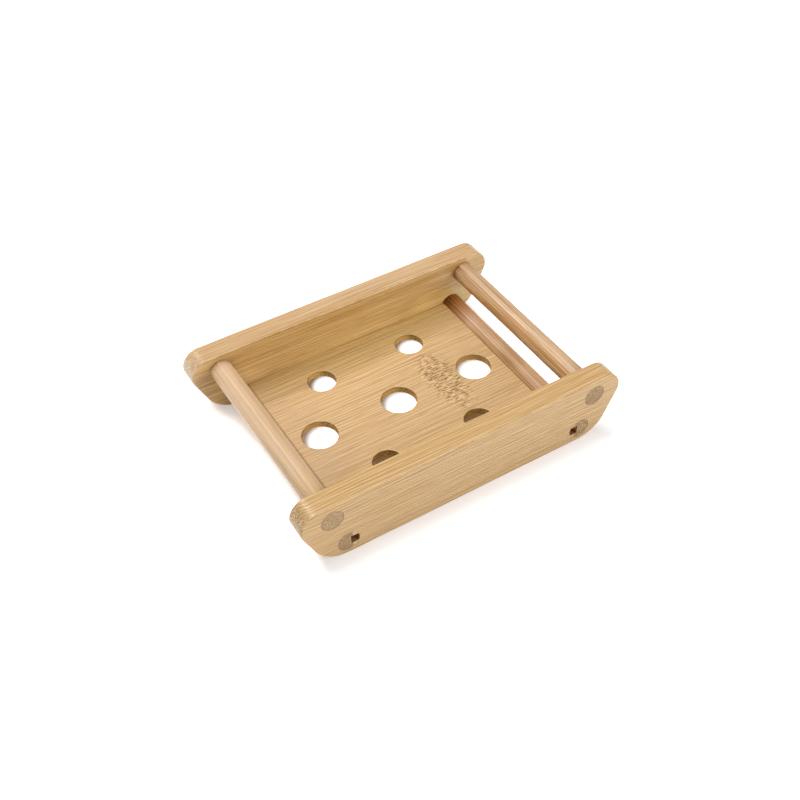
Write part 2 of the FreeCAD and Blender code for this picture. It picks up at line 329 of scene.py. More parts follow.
# Grooved stick: the circle with a slot cut in from the panel's side, carried along Y. The end face is three
# grids whose columns follow the arc: the body behind the slot and the lips above and below it.
def groovedDowel(node):
    low, high = nodeBox(node)
    centre, radius = dowelAxis(node, True)
    inward = -np.sign(centre[0])
    halfSlot, floor = dowel["grooveWidth"] / 2, radius - dowel["grooveDepth"]
    lipTurn = np.linspace(np.arcsin(halfSlot / radius), np.arccos(floor / radius), dowel["lipSteps"])
    bodyTurn = np.linspace(lipTurn[-1], np.pi, dowel["bodySteps"])
    share = halfSlot / (radius * np.sin(lipTurn[-1]))
    lipRise = np.linspace(0, 1, dowel["lipRows"])
    slotRise = np.linspace(-share, share, dowel["slotRows"])
    rise = np.concatenate([-1 + lipRise[:-1] * (1 - share), slotRise, share + lipRise[1:] * (1 - share)])

    def arc(turn):  # radius * cos and sin
        return np.stack([radius * np.cos(turn), radius * np.sin(turn)], 1)

    flip = np.array([1, -1])
    upperArc = np.concatenate([arc(lipTurn)[:-1], arc(bodyTurn)])
    lipWall = np.stack([radius * np.cos(lipTurn), np.full(len(lipTurn), halfSlot)], 1)
    slotFloor = np.stack([np.full(len(slotRise), floor), slotRise * radius * np.sin(lipTurn[-1])], 1)
    sides = (upperArc, (upperArc * flip)[::-1], lipWall * flip, slotFloor, lipWall[::-1])
    loop = np.concatenate([side[:-1] for side in sides])
    slotCount = sum(len(side) - 1 for side in sides[2:])
    slotMark = np.concatenate([np.zeros(len(loop) - slotCount), np.ones(slotCount)])

    def place(flatPoints, y):  # flat points are seen from the axis, the first towards the panel
        x, z = centre[0] + inward * flatPoints[..., 0], centre[1] + flatPoints[..., 1]
        return np.stack([x, np.broadcast_to(y, x.shape), z], -1)

    start, end = low[1] + dowel["endInset"], high[1] - dowel["endInset"]
    along = np.linspace(start, end, dowel["lengthRows"])
    loops = np.broadcast_to(loop, (len(along),) + loop.shape)
    cut = np.zeros(len(along))
    cut[[0, -1]] = dowel["grooveCut"]
    patches = [patch(place(loops, along[:, None]), True, bored=slotMark, endGrain=cut[:, None])]
    bodyZ = rise[:, None] * radius * np.sin(bodyTurn)
    body = np.stack(np.broadcast_arrays(radius * np.cos(bodyTurn), bodyZ), -1)
    lipZ = halfSlot + lipRise[:, None] * (radius * np.sin(lipTurn) - halfSlot)
    lip = np.stack(np.broadcast_arrays(radius * np.cos(lipTurn), lipZ), -1)
    besideSlot = np.abs(body[..., 1]) < halfSlot + dowel["rimOver"]
    rim = np.clip(1 - (floor - body[..., 0]) / dowel["rimWidth"], 0, 1) * besideSlot
    fade = np.clip(1 - (lip[..., 0] - floor) / dowel["lipFade"], 0, 1)
    for y in (start, end):
        # the pale lip beside the slot: partly wear, partly a painted highlight
        patches.append(patch(place(body, y), endGrain=1.0, worn=rim))
        for grid in (lip, lip * flip):
            patches.append(patch(place(grid, y), endGrain=fade))
    return patches


# Drain panel: a thin board of seven blocks, each with one drain hole. Middle row, then front and rear pairs.
panel = {
    "rowHole": 12.6, "rowSpacing": 31.0, "sideHole": 10.3, "sideX": 18.0, "sideY": 22.5,
    "upperEasing": 0.3, "lowerEasing": 0.12, "edgeEasing": 0.08, "easingRows": 4,
    "sideSwell": 0.13,  # the board bears on both rails
    "step": 0.75, "snap": 1e-6,  # between grid lines, and what still counts as on one
}


# Border of a block, anticlockwise from its lowest corner, through the grid lines that it shares with others.
def blockBorder(x, y):
    def side(a, b):  # a row of x, y with one of them fixed
        return np.stack(np.broadcast_arrays(a, b), 1)

    sides = [side(x[:-1], y[0]), side(x[-1], y[:-1]), side(x[:0:-1], y[-1]), side(x[0], y[:0:-1])]
    return np.concatenate(sides)


# Grid lines a step apart cut the board into blocks with one hole each. The board's edge is the blocks' outer
# border, pushed out by a quarter round, a straight wall and a quarter round.
def panelPatches(node):
    low, high = nodeBox(node)
    low[1], high[1] = low[1] - panel["sideSwell"], high[1] + panel["sideSwell"]
    ease = panel["edgeEasing"]
    left, right, front, rear = low[0] + ease, high[0] - ease, low[1] + ease, high[1] - ease
    half, row = panel["rowSpacing"] / 2, panel["sideY"] / 2

    def ticks(stops):  # the stops, and even lines between them at most a step apart
        counts = [int(np.ceil((b - a) / panel["step"])) for a, b in zip(stops, stops[1:])]
        spans = [np.linspace(a, b, n, endpoint=False) for a, b, n in zip(stops, stops[1:], counts)]
        return np.concatenate(spans + [stops[-1:]])

    def part(line, a, b):  # the lines from a to b
        return line[(line > a - panel["snap"]) & (line < b + panel["snap"])]

    def place(flatPoints, depth):  # x and y are flat, z is the depth
        return np.concatenate([flatPoints, depth[..., None]], -1)

    lineX, lineY = ticks([left, -half, 0.0, half, right]), ticks([front, -row, row, rear])
    blocks = [((left, -half), (-row, row), (-panel["rowSpacing"], 0), panel["rowHole"]),
              ((-half, half), (-row, row), (0, 0), panel["rowHole"]),
              ((half, right), (-row, row), (panel["rowSpacing"], 0), panel["rowHole"])]
    for y, span in ((-panel["sideY"], (front, -row)), (panel["sideY"], (row, rear))):
        blocks += [((left, 0.0), span, (-panel["sideX"], y), panel["sideHole"]),
                   ((0.0, right), span, (panel["sideX"], y), panel["sideHole"])]
    easings = (panel["upperEasing"], panel["lowerEasing"])
    patches = []
    for spanX, spanY, centre, hole in blocks:
        border = blockBorder(part(lineX, *spanX), part(lineY, *spanY))
        patches.append(boredBlock(border, np.array(centre), hole / 2, easings, (high[2], low[2]), place))

    border = blockBorder(lineX, lineY)
    out = np.stack([np.isclose(border[:, 0], right) * 1.0 - np.isclose(border[:, 0], left),
                    np.isclose(border[:, 1], rear) * 1.0 - np.isclose(border[:, 1], front)], 1)
    inset, drop = quarterRound(ease, panel["easingRows"])
    push = np.concatenate([ease - inset, (ease - inset)[::-1]])[:, None, None]
    depth = np.concatenate([high[2] - drop, (low[2] + drop)[::-1]])
    flatPoints = border + push * out
    bend = np.linspace(0, 1, len(inset))
    cut = np.abs(out[:, 0]) * np.concatenate([bend, bend[::-1]])[:, None]
    points = place(flatPoints, np.broadcast_to(depth[:, None], flatPoints.shape[:2]))
    patches.append(patch(points, True, endGrain=cut))
    return patches


# Adds a shader node. An input given as a socket is linked, any other value is set on it.
def addNode(tree, kind, inputs, **settings):
    made = tree.nodes.new("ShaderNode" + kind)
    for key, value in settings.items():
        setattr(made, key, value)
    for key, value in inputs.items():
        if isinstance(value, bpy.types.NodeSocket):
            tree.links.new(value, made.inputs[key])
        else:
            made.inputs[key].default_value = value
    return made


# One sum on two numbers: the operation of a and b, held between 0 and 1 where clamp says so.
def calculate(tree, operation, a, b=0.0, clamp=False):
    return addNode(tree, "Math", {0: a, 1: b}, operation=operation, use_clamp=clamp).outputs[0]


# One sum on two places: the operation of a and b, as a place, or as a number for a length or distance.
def calculatePlace(tree, operation, a, b=(0.0, 0.0, 0.0)):
    outputs = addNode(tree, "VectorMath", {0: a, 1: b}, operation=operation).outputs
    return outputs["Value"] if operation in ("LENGTH", "DISTANCE") else outputs["Vector"]


# Straight-line change of range, held inside the new limits; smooth rounds off its two ends.
def remap(tree, value, low, high, newLow=0.0, newHigh=1.0, smooth=False):
    kind = "SMOOTHSTEP" if smooth else "LINEAR"
    inputs = {"Value": value, "From Min": low, "From Max": high, "To Min": newLow, "To Max": newHigh}
    return addNode(tree, "MapRange", inputs, interpolation_type=kind).outputs[0]


mixSockets = {"share": 0, "first": 6, "second": 7, "result": 2}  # those of colours in Blender's Mix node


# Two colours mixed: first * (1 - share) + second * share, or first multiplied or lightened by second.
def blend(tree, share, first, second, way="MIX"):
    inputs = {mixSockets["share"]: share}
    for key, colour in (("first", first), ("second", second)):
        linked = isinstance(colour, bpy.types.NodeSocket)
        inputs[mixSockets[key]] = colour if linked else (*colour, 1.0)
    made = addNode(tree, "Mix", inputs, data_type="RGBA", blend_type=way)
    return made.outputs[mixSockets["result"]]


# An empty node group, the sockets it reads, which are places and then numbers, and the numbers it gives.
def startGroup(name, places, numbers, results):
    group = bpy.data.node_groups.new(name, "ShaderNodeTree")
    sockets = ((places, "INPUT", "Vector"), (numbers, "INPUT", "Float"), (results, "OUTPUT", "Float"))
    for labels, way, kind in sockets:
        for label in labels:
            group.interface.new_socket(label, in_out=way, socket_type="NodeSocket" + kind)
    return group, group.nodes.new("NodeGroupInput").outputs, group.nodes.new("NodeGroupOutput").inputs


# Bamboo grain: waves a metre along and across the fibre, fineness, and the two levels of a mask.
grain = {
    "strips": (6, 150, 2.0, 0.25, 0.75),
    "boardStreaks": (42, 1700, 1.0, -0.2, 0.2), "beside": (0.0, 0.55, 0.0),
    "stickStreaks": (20, 1900, 1.0, 0.38, 0.62),
    "lines": (12, 1500, 1.0, 0.55, 0.63), "lineDepth": 0.6,
    "lineFading": (24, 260, 1.0, 0.40, 0.58), "faintest": 0.35,
    "dashes": (95, 1300, 1.0, 0.60, 0.68), "dashDepth": 0.5,
    "shadeStreaks": (12, 900, 1.0, 0.44, 0.56),
    "flecks": (470, 2300, 2.0), "fleckLimit": 0.80, "fleckDrop": 0.275, "fleckGain": 24.0,
}


# Noise pulled out along the fibre: the place is multiplied by so many waves a metre along and across it.
def fibreNoise(tree, place, kind):
    along, across, detail = grain[kind][:3]
    stretched = calculatePlace(tree, "MULTIPLY", place, (along, across, across))
    return addNode(tree, "TexNoise", {"Vector": stretched, "Scale": 1.0, "Detail": detail}).outputs[0]


# A value that runs from newLow to 1 between the two levels of a kind of grain; close levels give crisp edges.
def grainMask(tree, value, kind, newLow=0.0, smooth=False):
    return remap(tree, value, grain[kind][3], grain[kind][4], newLow, 1.0, smooth)


# Fibres of split bamboo along X: broad strips, streaks, long thin lines, and short dashes of opened vessels.
# Each is noise pulled out along X, as a mask. A board's streaks are the noise less the same noise a little
# further across the fibre, which leaves out broad bands. Across a board is Y on level faces and Z on upright
# ones, so their sum serves for both.
def makeFibres(name, board):
    labels = ("Strips", "Streaks", "Lines", "Dashes", "Relief")
    group, get, put = startGroup(name, ["Place"], [], labels)
    place = get["Place"]
    strips = grainMask(group, fibreNoise(group, place, "strips"), "strips")
    if board:
        spot = addNode(group, "SeparateXYZ", {"Vector": place}).outputs
        across = calculate(group, "ADD", spot["Y"], spot["Z"])
        here = addNode(group, "CombineXYZ", {"X": spot["X"], "Y": across}).outputs[0]
        beside = calculatePlace(group, "ADD", here, metres(grain["beside"]))
        noise, noiseBeside = (fibreNoise(group, at, "boardStreaks") for at in (here, beside))
        streaks = grainMask(group, calculate(group, "SUBTRACT", noise, noiseBeside), "boardStreaks")
    else:
        streaks = grainMask(group, fibreNoise(group, place, "stickStreaks"), "stickStreaks")
    lines = grainMask(group, fibreNoise(group, place, "lines"), "lines", smooth=True)
    fading = grainMask(group, fibreNoise(group, place, "lineFading"), "lineFading", grain["faintest"])
    lines = calculate(group, "MULTIPLY", lines, fading)
    dashes = grainMask(group, fibreNoise(group, place, "dashes"), "dashes", smooth=True)
    lineSink = calculate(group, "MULTIPLY", lines, grain["lineDepth"])
    dashSink = calculate(group, "MULTIPLY", dashes, grain["dashDepth"])
    sunk = calculate(group, "ADD", streaks, calculate(group, "ADD", lineSink, dashSink))
    relief = calculate(group, "SUBTRACT", 1.0, sunk)
    for label, value in zip(labels, (strips, streaks, lines, dashes, relief)):
        group.links.new(value, put[label])
    return group


dotNet = {
    "slant": 0.6, "scatter": 0.85, "edge": (0.42, 0.2),
    "groundScale": 420.0, "groundDetail": 2.0, "ground": (0.35, 0.65),
}


# Cut ends of the fibre bundles: one oval dot in each cell of a net across the fibre, slanted because the net
# is laid on Y + Z and on Y - Z times slant. The ground between the dots is noise.
def makeEndDots():
    group, get, put = startGroup("bambooEndDots", ["Place"], ["Count"], ["Dots", "Ground"])
    spot = addNode(group, "SeparateXYZ", {"Vector": get["Place"]}).outputs
    u = calculate(group, "ADD", spot["Y"], spot["Z"])
    v = calculate(group, "MULTIPLY", calculate(group, "SUBTRACT", spot["Y"], spot["Z"]), dotNet["slant"])
    across = addNode(group, "CombineXYZ", {"X": u, "Y": v}).outputs[0]
    net = {"Vector": across, "Scale": get["Count"], "Randomness": dotNet["scatter"]}
    cells = addNode(group, "TexVoronoi", net, voronoi_dimensions="2D")
    dots = remap(group, cells.outputs["Distance"], *dotNet["edge"], smooth=True)
    group.links.new(dots, put["Dots"])
    noise = {"Vector": get["Place"], "Scale": dotNet["groundScale"], "Detail": dotNet["groundDetail"]}
    ground = remap(group, addNode(group, "TexNoise", noise).outputs[0], *dotNet["ground"])
    group.links.new(ground, put["Ground"])
    return group


spotCore = 0.3  # share of a soft spot's reach inside which it is whole


# Soft spot: one round its centre, falling to none where the distance, measured in reaches, comes to one.
def makeSoftSpot():
    group, get, put = startGroup("softSpot", ["Place", "Centre", "Reach"], [], ["Inside"])
    offset = calculatePlace(group, "SUBTRACT", get["Place"], get["Centre"])
    distance = calculatePlace(group, "LENGTH", calculatePlace(group, "DIVIDE", offset, get["Reach"]))
    group.links.new(remap(group, distance, 1.0, spotCore, smooth=True), put["Inside"])
    return group


# Flecks of a bamboo node: short dashes where noise rises over a limit, which is lower inside the spot.
# Dark flecks come from the noise's high side and light ones from its low side.
def makeNodeFlecks():
    group, get, put = startGroup("bambooNodeFlecks", ["Place"], ["Inside"], ["Flecks", "Lights"])
    noise = fibreNoise(group, get["Place"], "flecks")
    drop = calculate(group, "MULTIPLY", get["Inside"], grain["fleckDrop"])
    limit = calculate(group, "SUBTRACT", grain["fleckLimit"], drop)
    for label, value in (("Flecks", noise), ("Lights", calculate(group, "SUBTRACT", 1.0, noise))):
        above = calculate(group, "SUBTRACT", value, limit)
        group.links.new(calculate(group, "MULTIPLY", above, grain["fleckGain"], True), put[label])
    return group


sanding = {"scale": 260.0, "detail": 3.0, "levels": (0.36, 0.62)}


# Sanded edges with a painted highlight: the eased strip, multiplied by noise so that it polishes unevenly.
# The paler tone it brings is partly wear and partly painted sheen.
def makeSandedEdgeAndSheen():
    group, get, put = startGroup("sandedEdgeAndSheen", ["Place"], ["Edge"], ["Worn"])
    noise = {"Vector": get["Place"], "Scale": sanding["scale"], "Detail": sanding["detail"]}
    uneven = remap(group, addNode(group, "TexNoise", noise).outputs[0], *sanding["levels"])
    group.links.new(calculate(group, "MULTIPLY", uneven, get["Edge"]), put["Worn"])
    return group


boardFibres, stickFibres = makeFibres("boardFibres", True), makeFibres("stickFibres", False)
endDots, softSpot = makeEndDots(), makeSoftSpot()
nodeFlecks, sandedEdgeAndSheen = makeNodeFlecks(), makeSandedEdgeAndSheen()
print("built", len(bpy.data.node_groups), "shader groups")


# Bamboo: a pale ground with darker strips, multiplied by streaks, with thin lines and dashes laid over. Then
# come tinted places, which are partly the wood's own tone and partly painted shade, painted light and painted
# highlights, the flecks of a node, dotted cut ends, brown hole walls that are partly painted shade, and paler
# eased edges that are partly sanded wear and partly a painted highlight.
def bamboo(name, look):
    material = bpy.data.materials.new(name)
    material.use_nodes = True
    tree = material.node_tree
    tree.nodes.clear()
    coordinates = addNode(tree, "TexCoord", {}).outputs["Object"]
    turned = (0, 0, radians(look["turn"]))
    laid = {"Vector": coordinates, "Location": metres(look["offset"]), "Rotation": turned}
    place = addNode(tree, "Mapping", laid).outputs[0]

    def group(kind, **inputs):  # what a shared group gives
        return addNode(tree, "Group", inputs, node_tree=kind).outputs

    def mark(label):  # one of the mesh's marks
        return addNode(tree, "Attribute", {}, attribute_name=label).outputs["Fac"]

    def scaled(value, amount):
        return calculate(tree, "MULTIPLY", value, amount)

    def tinted(share, colour, tint):  # the colour, multiplied by a tint where share is 1
        return blend(tree, share, colour, blend(tree, 1.0, colour, tint, "MULTIPLY"))

    def within(spot):  # 1 in the spot, 0 outside
        return group(softSpot, Place=coordinates, Centre=spot["centre"], Reach=spot["reach"])["Inside"]

    fibre = group(look["fibres"], Place=place)
    ends = group(endDots, Place=place, Count=look["dotCount"])
    cutEnd = remap(tree, mark("endGrain"), *look["cutEdge"], smooth=True)
    colour = blend(tree, fibre["Strips"], look["pale"], look["strip"])
    colour = tinted(scaled(fibre["Streaks"], look["streaks"]), colour, look["streak"])
    colour = blend(tree, scaled(fibre["Lines"], look["lines"]), colour, look["line"])
    colour = blend(tree, scaled(fibre["Dashes"], look["dashes"]), colour, look["dash"])
    relief = fibre["Relief"]
    # warmer, lighter inside of the rear rail: partly the wood's own ochre tone, partly painted warm light
    # bounced from the panel
    if "innerToneAndWarmLight" in look:
        colour = tinted(mark("inner"), colour, look["innerToneAndWarmLight"])
    if "seam" in look:  # a thin dark joint across the fibre at the left end
        left = scaled(addNode(tree, "SeparateXYZ", {"Vector": coordinates}).outputs["X"], -1.0)
        colour = tinted(remap(tree, left, *metres(look["seam"]), smooth=True), colour, look["seamTint"])
    shadeNoise = fibreNoise(tree, place, "shadeStreaks")
    for spot in look["tonesAndPaintedLight"]:
        share = within(spot)
        if spot["walls"]:
            share = scaled(share, mark("bored"))
        share = scaled(share, grainMask(tree, shadeNoise, "shadeStreaks", 1.0 - spot["streaky"]))
        colour = tinted(share, colour, spot["tint"])
    if "node" in look:
        node = look["node"]
        flecks = group(nodeFlecks, Place=place, Inside=within(node))
        colour = blend(tree, scaled(flecks["Flecks"], node["strength"]), colour, node["dark"])
        colour = blend(tree, scaled(flecks["Lights"], node["lightStrength"]), colour, node["light"])
        relief = calculate(tree, "SUBTRACT", relief, flecks["Flecks"])
    endColour = blend(tree, ends["Ground"], look["endPale"], look["endDark"])
    endColour = blend(tree, scaled(ends["Dots"], look["dots"]), endColour, look["dot"])
    colour = blend(tree, cutEnd, colour, endColour)
    # brown walls of holes and slots: partly the drilled wood's tone, partly painted shade in the hollow
    colour = tinted(mark("bored"), colour, look["bored"])
    # paler eased edges: partly sanded wear, partly a painted highlight
    worn = group(sandedEdgeAndSheen, Place=coordinates, Edge=mark("worn"))["Worn"]
    colour = blend(tree, scaled(worn, look["worn"]), colour, look["wornTone"])
    rough = look["rough"]
    shares = (fibre["Streaks"], cutEnd, mark("bored"), mark("worn"))
    for share, key in zip(shares, ("streakRough", "endRough", "boredRough", "wornRough")):
        rough = calculate(tree, "ADD", scaled(share, look[key]), rough)
    pits = scaled(scaled(ends["Dots"], cutEnd), look["dotDepth"])
    height = calculate(tree, "SUBTRACT", relief, pits)
    raised = {"Height": height, "Strength": look["bump"], "Distance": look["bumpDepth"] * mm}
    bump = addNode(tree, "Bump", raised).outputs[0]
    inputs = {"Base Color": colour, "Roughness": rough, "Normal": bump, "IOR": look["ior"]}
    surface = addNode(tree, "BsdfPrincipled", inputs)
    addNode(tree, "OutputMaterial", {"Surface": surface.outputs[0]})
    return material


# A tinted soft place of a look: its colour times the tint, which darkens, warms or lightens it, as far as
# the soft spot says. Some are the wood's own tone and marks; others are painted shade, painted light or
# painted highlights, as the note at each says. It breaks into streaks by the share streaky and may keep to
# the walls of holes.
def toneAndPaintedLight(centre, reach, tint, streaky=0.0, walls=False):
    spot = {"centre": metres(centre), "reach": metres(reach)}
    return {**spot, "tint": tint, "streaky": streaky, "walls": walls}


# What the pieces share; each look below changes what is its own.
plainLook = {
    "offset": (0.0, 0.0, 0.0), "turn": 0.0, "tonesAndPaintedLight": [], "fibres": boardFibres,
    "pale": (0.64, 0.43, 0.235), "strip": (0.61, 0.40, 0.205), "streak": (0.70, 0.61, 0.44), "streaks": 0.85,
    "line": (0.36, 0.19, 0.07), "lines": 0.55, "dash": (0.30, 0.16, 0.06), "dashes": 0.25,
    "endPale": (0.50, 0.33, 0.165), "endDark": (0.39, 0.245, 0.105), "cutEdge": (0.25, 0.8),
    "dot": (0.15, 0.085, 0.035), "dots": 0.65, "dotCount": 1080.0, "bored": (0.76, 0.63, 0.24), "worn": 0.5,
    "wornTone": (0.78, 0.57, 0.37), "rough": 0.27, "streakRough": 0.12, "endRough": 0.02, "boredRough": 0.5,
    "wornRough": 0.0, "bump": 0.5, "bumpDepth": 0.12, "dotDepth": 0.9, "ior": 1.46,
}
frontRailLook = {
    **plainLook, "offset": (13, 21, 4), "pale": (0.60, 0.406, 0.206), "strip": (0.585, 0.39, 0.19),
    "streaks": 1.0, "lines": 0.35, "worn": 0.3, "wornRough": 0.55, "bored": (0.70, 0.49, 0.27),
    "tonesAndPaintedLight": [
        toneAndPaintedLight((30, -35.3, 24.4), (28, 1.6, 1.6), (1.14, 1.18, 1.30), 0.2),  # painted highlight along the inner edge
        toneAndPaintedLight((-28, -43, 15.5), (18, 4, 8), (0.98, 0.93, 0.87), 0.3),  # warm left part of the outside
    ],
}
rearRailLook = {
    **plainLook, "offset": (117, 46, 31), "pale": (0.592, 0.40, 0.225), "strip": (0.577, 0.383, 0.206),
    "streaks": 0.72, "innerToneAndWarmLight": (1.20, 1.19, 0.93), "endPale": (0.60, 0.43, 0.28),
    "endDark": (0.50, 0.35, 0.21), "dot": (0.26, 0.16, 0.08), "dots": 0.45, "endRough": -0.06,
    "tonesAndPaintedLight": [
        toneAndPaintedLight((-53.5, 35, 2), (16, 10, 28), (0.42, 0.38, 0.28), 0.3),  # painted shade on the left heel
        toneAndPaintedLight((0, 35, 21), (70, 10, 5), (0.88, 0.83, 0.72), 1.0),  # streaks below the inner edge
        toneAndPaintedLight((45, 35, 6.8), (85, 3, 8), (1.30, 1.40, 1.48)),  # painted light along the joint with the panel, lifting the shade there
        toneAndPaintedLight((37, 35, 10), (13, 4, 7), (1.28, 1.35, 1.34)),  # painted light beside the right dowels
        toneAndPaintedLight((51.5, 35, 8.5), (11.5, 4, 11), (0.63, 0.66, 0.66)),  # painted shade in the corner between them
        toneAndPaintedLight((-41, 35, 10), (11, 4, 5), (1.18, 1.24, 1.34)),  # painted light beside the left dowels
        toneAndPaintedLight((-33, 35, 17.4), (34, 10, 2.6), (0.84, 0.80, 0.74), 0.4),  # brown streak
        toneAndPaintedLight((-12, 35.3, 24.4), (50, 1.6, 1.6), (0.86, 0.78, 0.64), 0.2),  # painted shade along the inner edge, as of a rounder edge
        toneAndPaintedLight((57, 35, 19), (6.5, 4, 8), (0.78, 0.78, 0.77)),  # right nose
        toneAndPaintedLight((-4, 35, 14), (50, 4, 14), (1.07, 1.09, 1.09)),  # painted light on the middle of the inside
        toneAndPaintedLight((12, 40, 26), (50, 20, 5), (1.07, 1.11, 1.20), 0.3),  # painted highlight on the middle of the top
    ],
}
panelLook = {
    **plainLook, "offset": (231, 77, 0), "pale": (0.655, 0.453, 0.252), "strip": (0.637, 0.437, 0.234),
    "lines": 0.34, "bored": (0.94, 0.84, 0.43), "seam": (40.2, 41.0), "seamTint": (0.52, 0.44, 0.33),
    "tonesAndPaintedLight": [
        toneAndPaintedLight((0, 36, 7), (80, 22, 20), (0.93, 0.93, 0.75)),  # painted warm shade on the rear third, by the rear rail
        toneAndPaintedLight((0, -36, 7), (80, 22, 20), (0.97, 1.0, 0.88)),  # painted warm shade on the front third, by the front rail
        toneAndPaintedLight((20, 35.5, 7), (90, 6.8, 20), (1.34, 1.36, 1.30)),  # painted light along the joint with the rear rail, lifting the shade there
        toneAndPaintedLight((-6, 27, 7), (80, 9, 20), (0.83, 0.82, 0.80)),  # painted shadow of the rear rail in a band before it
        toneAndPaintedLight((0, -22.5, 5), (80, 9, 1.8), (0.93, 1.02, 1.22)),  # painted light on the walls of the front holes
        toneAndPaintedLight((0, 22.5, 5.5), (80, 12, 4), (1.58, 1.66, 1.80), walls=True),  # painted light on the walls of the rear holes
        toneAndPaintedLight((-41, 0, 7), (22, 50, 20), (0.92, 0.93, 1.0)),  # left end
        toneAndPaintedLight((20.3, 3, 7), (8.5, 16, 20), (0.89, 0.86, 0.79), 0.2),  # brown ground of the node
    ],
    "node": {
        "centre": metres((18.5, 0, 7)), "reach": metres((11.5, 28, 20)), "strength": 0.86,
        "dark": (0.22, 0.105, 0.024), "lightStrength": 0.42, "light": (0.80, 0.60, 0.35),
    },
}
paleDowelLook = {
    **plainLook, "offset": (50, 310, 0), "turn": -90.0, "fibres": stickFibres, "rough": 0.30,
    "pale": (0.60, 0.42, 0.265), "strip": (0.575, 0.395, 0.24), "lines": 0.2, "dashes": 0.15, "streaks": 0.32,
    "endPale": (0.435, 0.283, 0.138), "endDark": (0.36, 0.23, 0.106), "dots": 0.55, "dotCount": 1300.0,
}
upperLeftLook = {
    **paleDowelLook, "rough": 0.42,
    "tonesAndPaintedLight": [
        toneAndPaintedLight((-50.03, 4, 22.45), (0.5, 60, 0.5), (1.16, 1.18, 1.20), 0.2),  # painted highlight along the top
        toneAndPaintedLight((-50.66, -14, 22.29), (0.62, 40, 0.62), (0.86, 0.84, 0.82), 0.2),  # dark line beside it
        toneAndPaintedLight((-53.3, -30, 19.8), (2.4, 50, 2.4), (0.76, 0.75, 0.69)),  # painted shade on the outer side
        toneAndPaintedLight((-50, 36.5, 22.2), (6, 6, 6), (0.72, 0.64, 0.54)),  # painted shade at the rear end, where it meets the rail
        toneAndPaintedLight((-51, -37, 22.2), (7, 15, 7), (0.95, 0.90, 0.77)),  # front end
        toneAndPaintedLight((-45, 0, 20), (3, 120, 3), (1.21, 1.30, 1.36), 0.2),  # painted light on the inner side
    ],
}
lowerLeftLook = {
    **paleDowelLook, "offset": (270, 520, 30), "endPale": (0.365, 0.23, 0.097),
    "endDark": (0.30, 0.184, 0.077), "bored": (0.67, 0.47, 0.28),
}
upperRightLook = {
    **paleDowelLook, "offset": (160, 430, 20), "pale": (0.68, 0.495, 0.36), "strip": (0.60, 0.40, 0.24),
    "lines": 0.65, "dashes": 0.3, "streaks": 0.9, "endPale": (0.365, 0.238, 0.105),
    "endDark": (0.295, 0.187, 0.082), "ior": 1.38,
    "tonesAndPaintedLight": [
        toneAndPaintedLight((49.4, 37, 18.6), (10, 12, 10), (0.62, 0.54, 0.45), 1.0),  # streaky rear end
        toneAndPaintedLight((45.6, -12, 19.2), (4.6, 60, 4.6), (0.84, 0.67, 0.32), 0.6),  # brown inner side
        toneAndPaintedLight((49.4, 21, 22.5), (1, 26, 1), (0.68, 0.61, 0.48), 0.3),  # dark line along the top
        toneAndPaintedLight((48.08, 5, 22.27), (0.8, 60, 0.8), (1.12, 1.16, 1.26), 0.3),  # painted highlight beside it
        toneAndPaintedLight((53.3, 0, 21), (4.2, 120, 4.2), (0.76, 0.65, 0.48), 0.4),  # outer side
        toneAndPaintedLight((50.84, 3, 22.17), (1.8, 60, 1.8), (0.86, 0.84, 0.74), 0.2),  # outer part of the top
        toneAndPaintedLight((46.27, 34, 20.84), (1.2, 22, 1.2), (0.70, 0.62, 0.44), 0.2),  # brown line at the rear
        toneAndPaintedLight((50.7, -36, 22.2), (3, 12, 3), (0.82, 0.85, 0.88), 0.2),  # front end
    ],
}
lowerRightLook = {
    **upperRightLook, "offset": (360, 630, 50), "pale": (0.60, 0.41, 0.275), "strip": (0.52, 0.34, 0.205),
    "dots": 0.85, "dotCount": 1050.0, "bored": (0.67, 0.47, 0.28), "endPale": (0.45, 0.31, 0.17),
    "endDark": (0.32, 0.21, 0.105), "ior": 1.18,
    "tonesAndPaintedLight": [
        toneAndPaintedLight((45.7, 37, 6), (12, 22, 12), (0.57, 0.345, 0.11)),  # brown rear end: partly the wood's own stain, partly painted shade by the rail
        toneAndPaintedLight((45.7, 37, 6), (12, 22, 12), (0.58, 0.48, 0.38), 1.0),  # its darker streaks
        toneAndPaintedLight((44, -5, 9), (4, 9, 4), (0.74, 0.68, 0.60), 0.6),  # dark place on the top
        toneAndPaintedLight((41.1, -10, 7.6), (1.9, 50, 1.9), (0.80, 0.70, 0.52), 0.4),  # line above the panel
        toneAndPaintedLight((42.7, 13, 9), (2.2, 14, 2.2), (1.0, 1.02, 1.10), 0.5),  # pale places on the top
        toneAndPaintedLight((42.7, -18, 9), (2.2, 9, 2.2), (1.0, 1.03, 1.12), 0.5),
        toneAndPaintedLight((46.2, 10, 9), (3.4, 18, 3.4), (0.77, 0.74, 0.68), 0.3),  # outer part of the top
        toneAndPaintedLight((43.28, 21, 9.15), (1, 9, 1), (1.12, 1.20, 1.50), 0.2),  # painted highlight, a pale line at the rear
    ],
}
print("looks ready")

bores = {}
for side in ("left", "right"):
    bores[side] = (dowelAxis("upper_%s_dowel" % side, False), dowelAxis("lower_%s_dowel" % side, True))

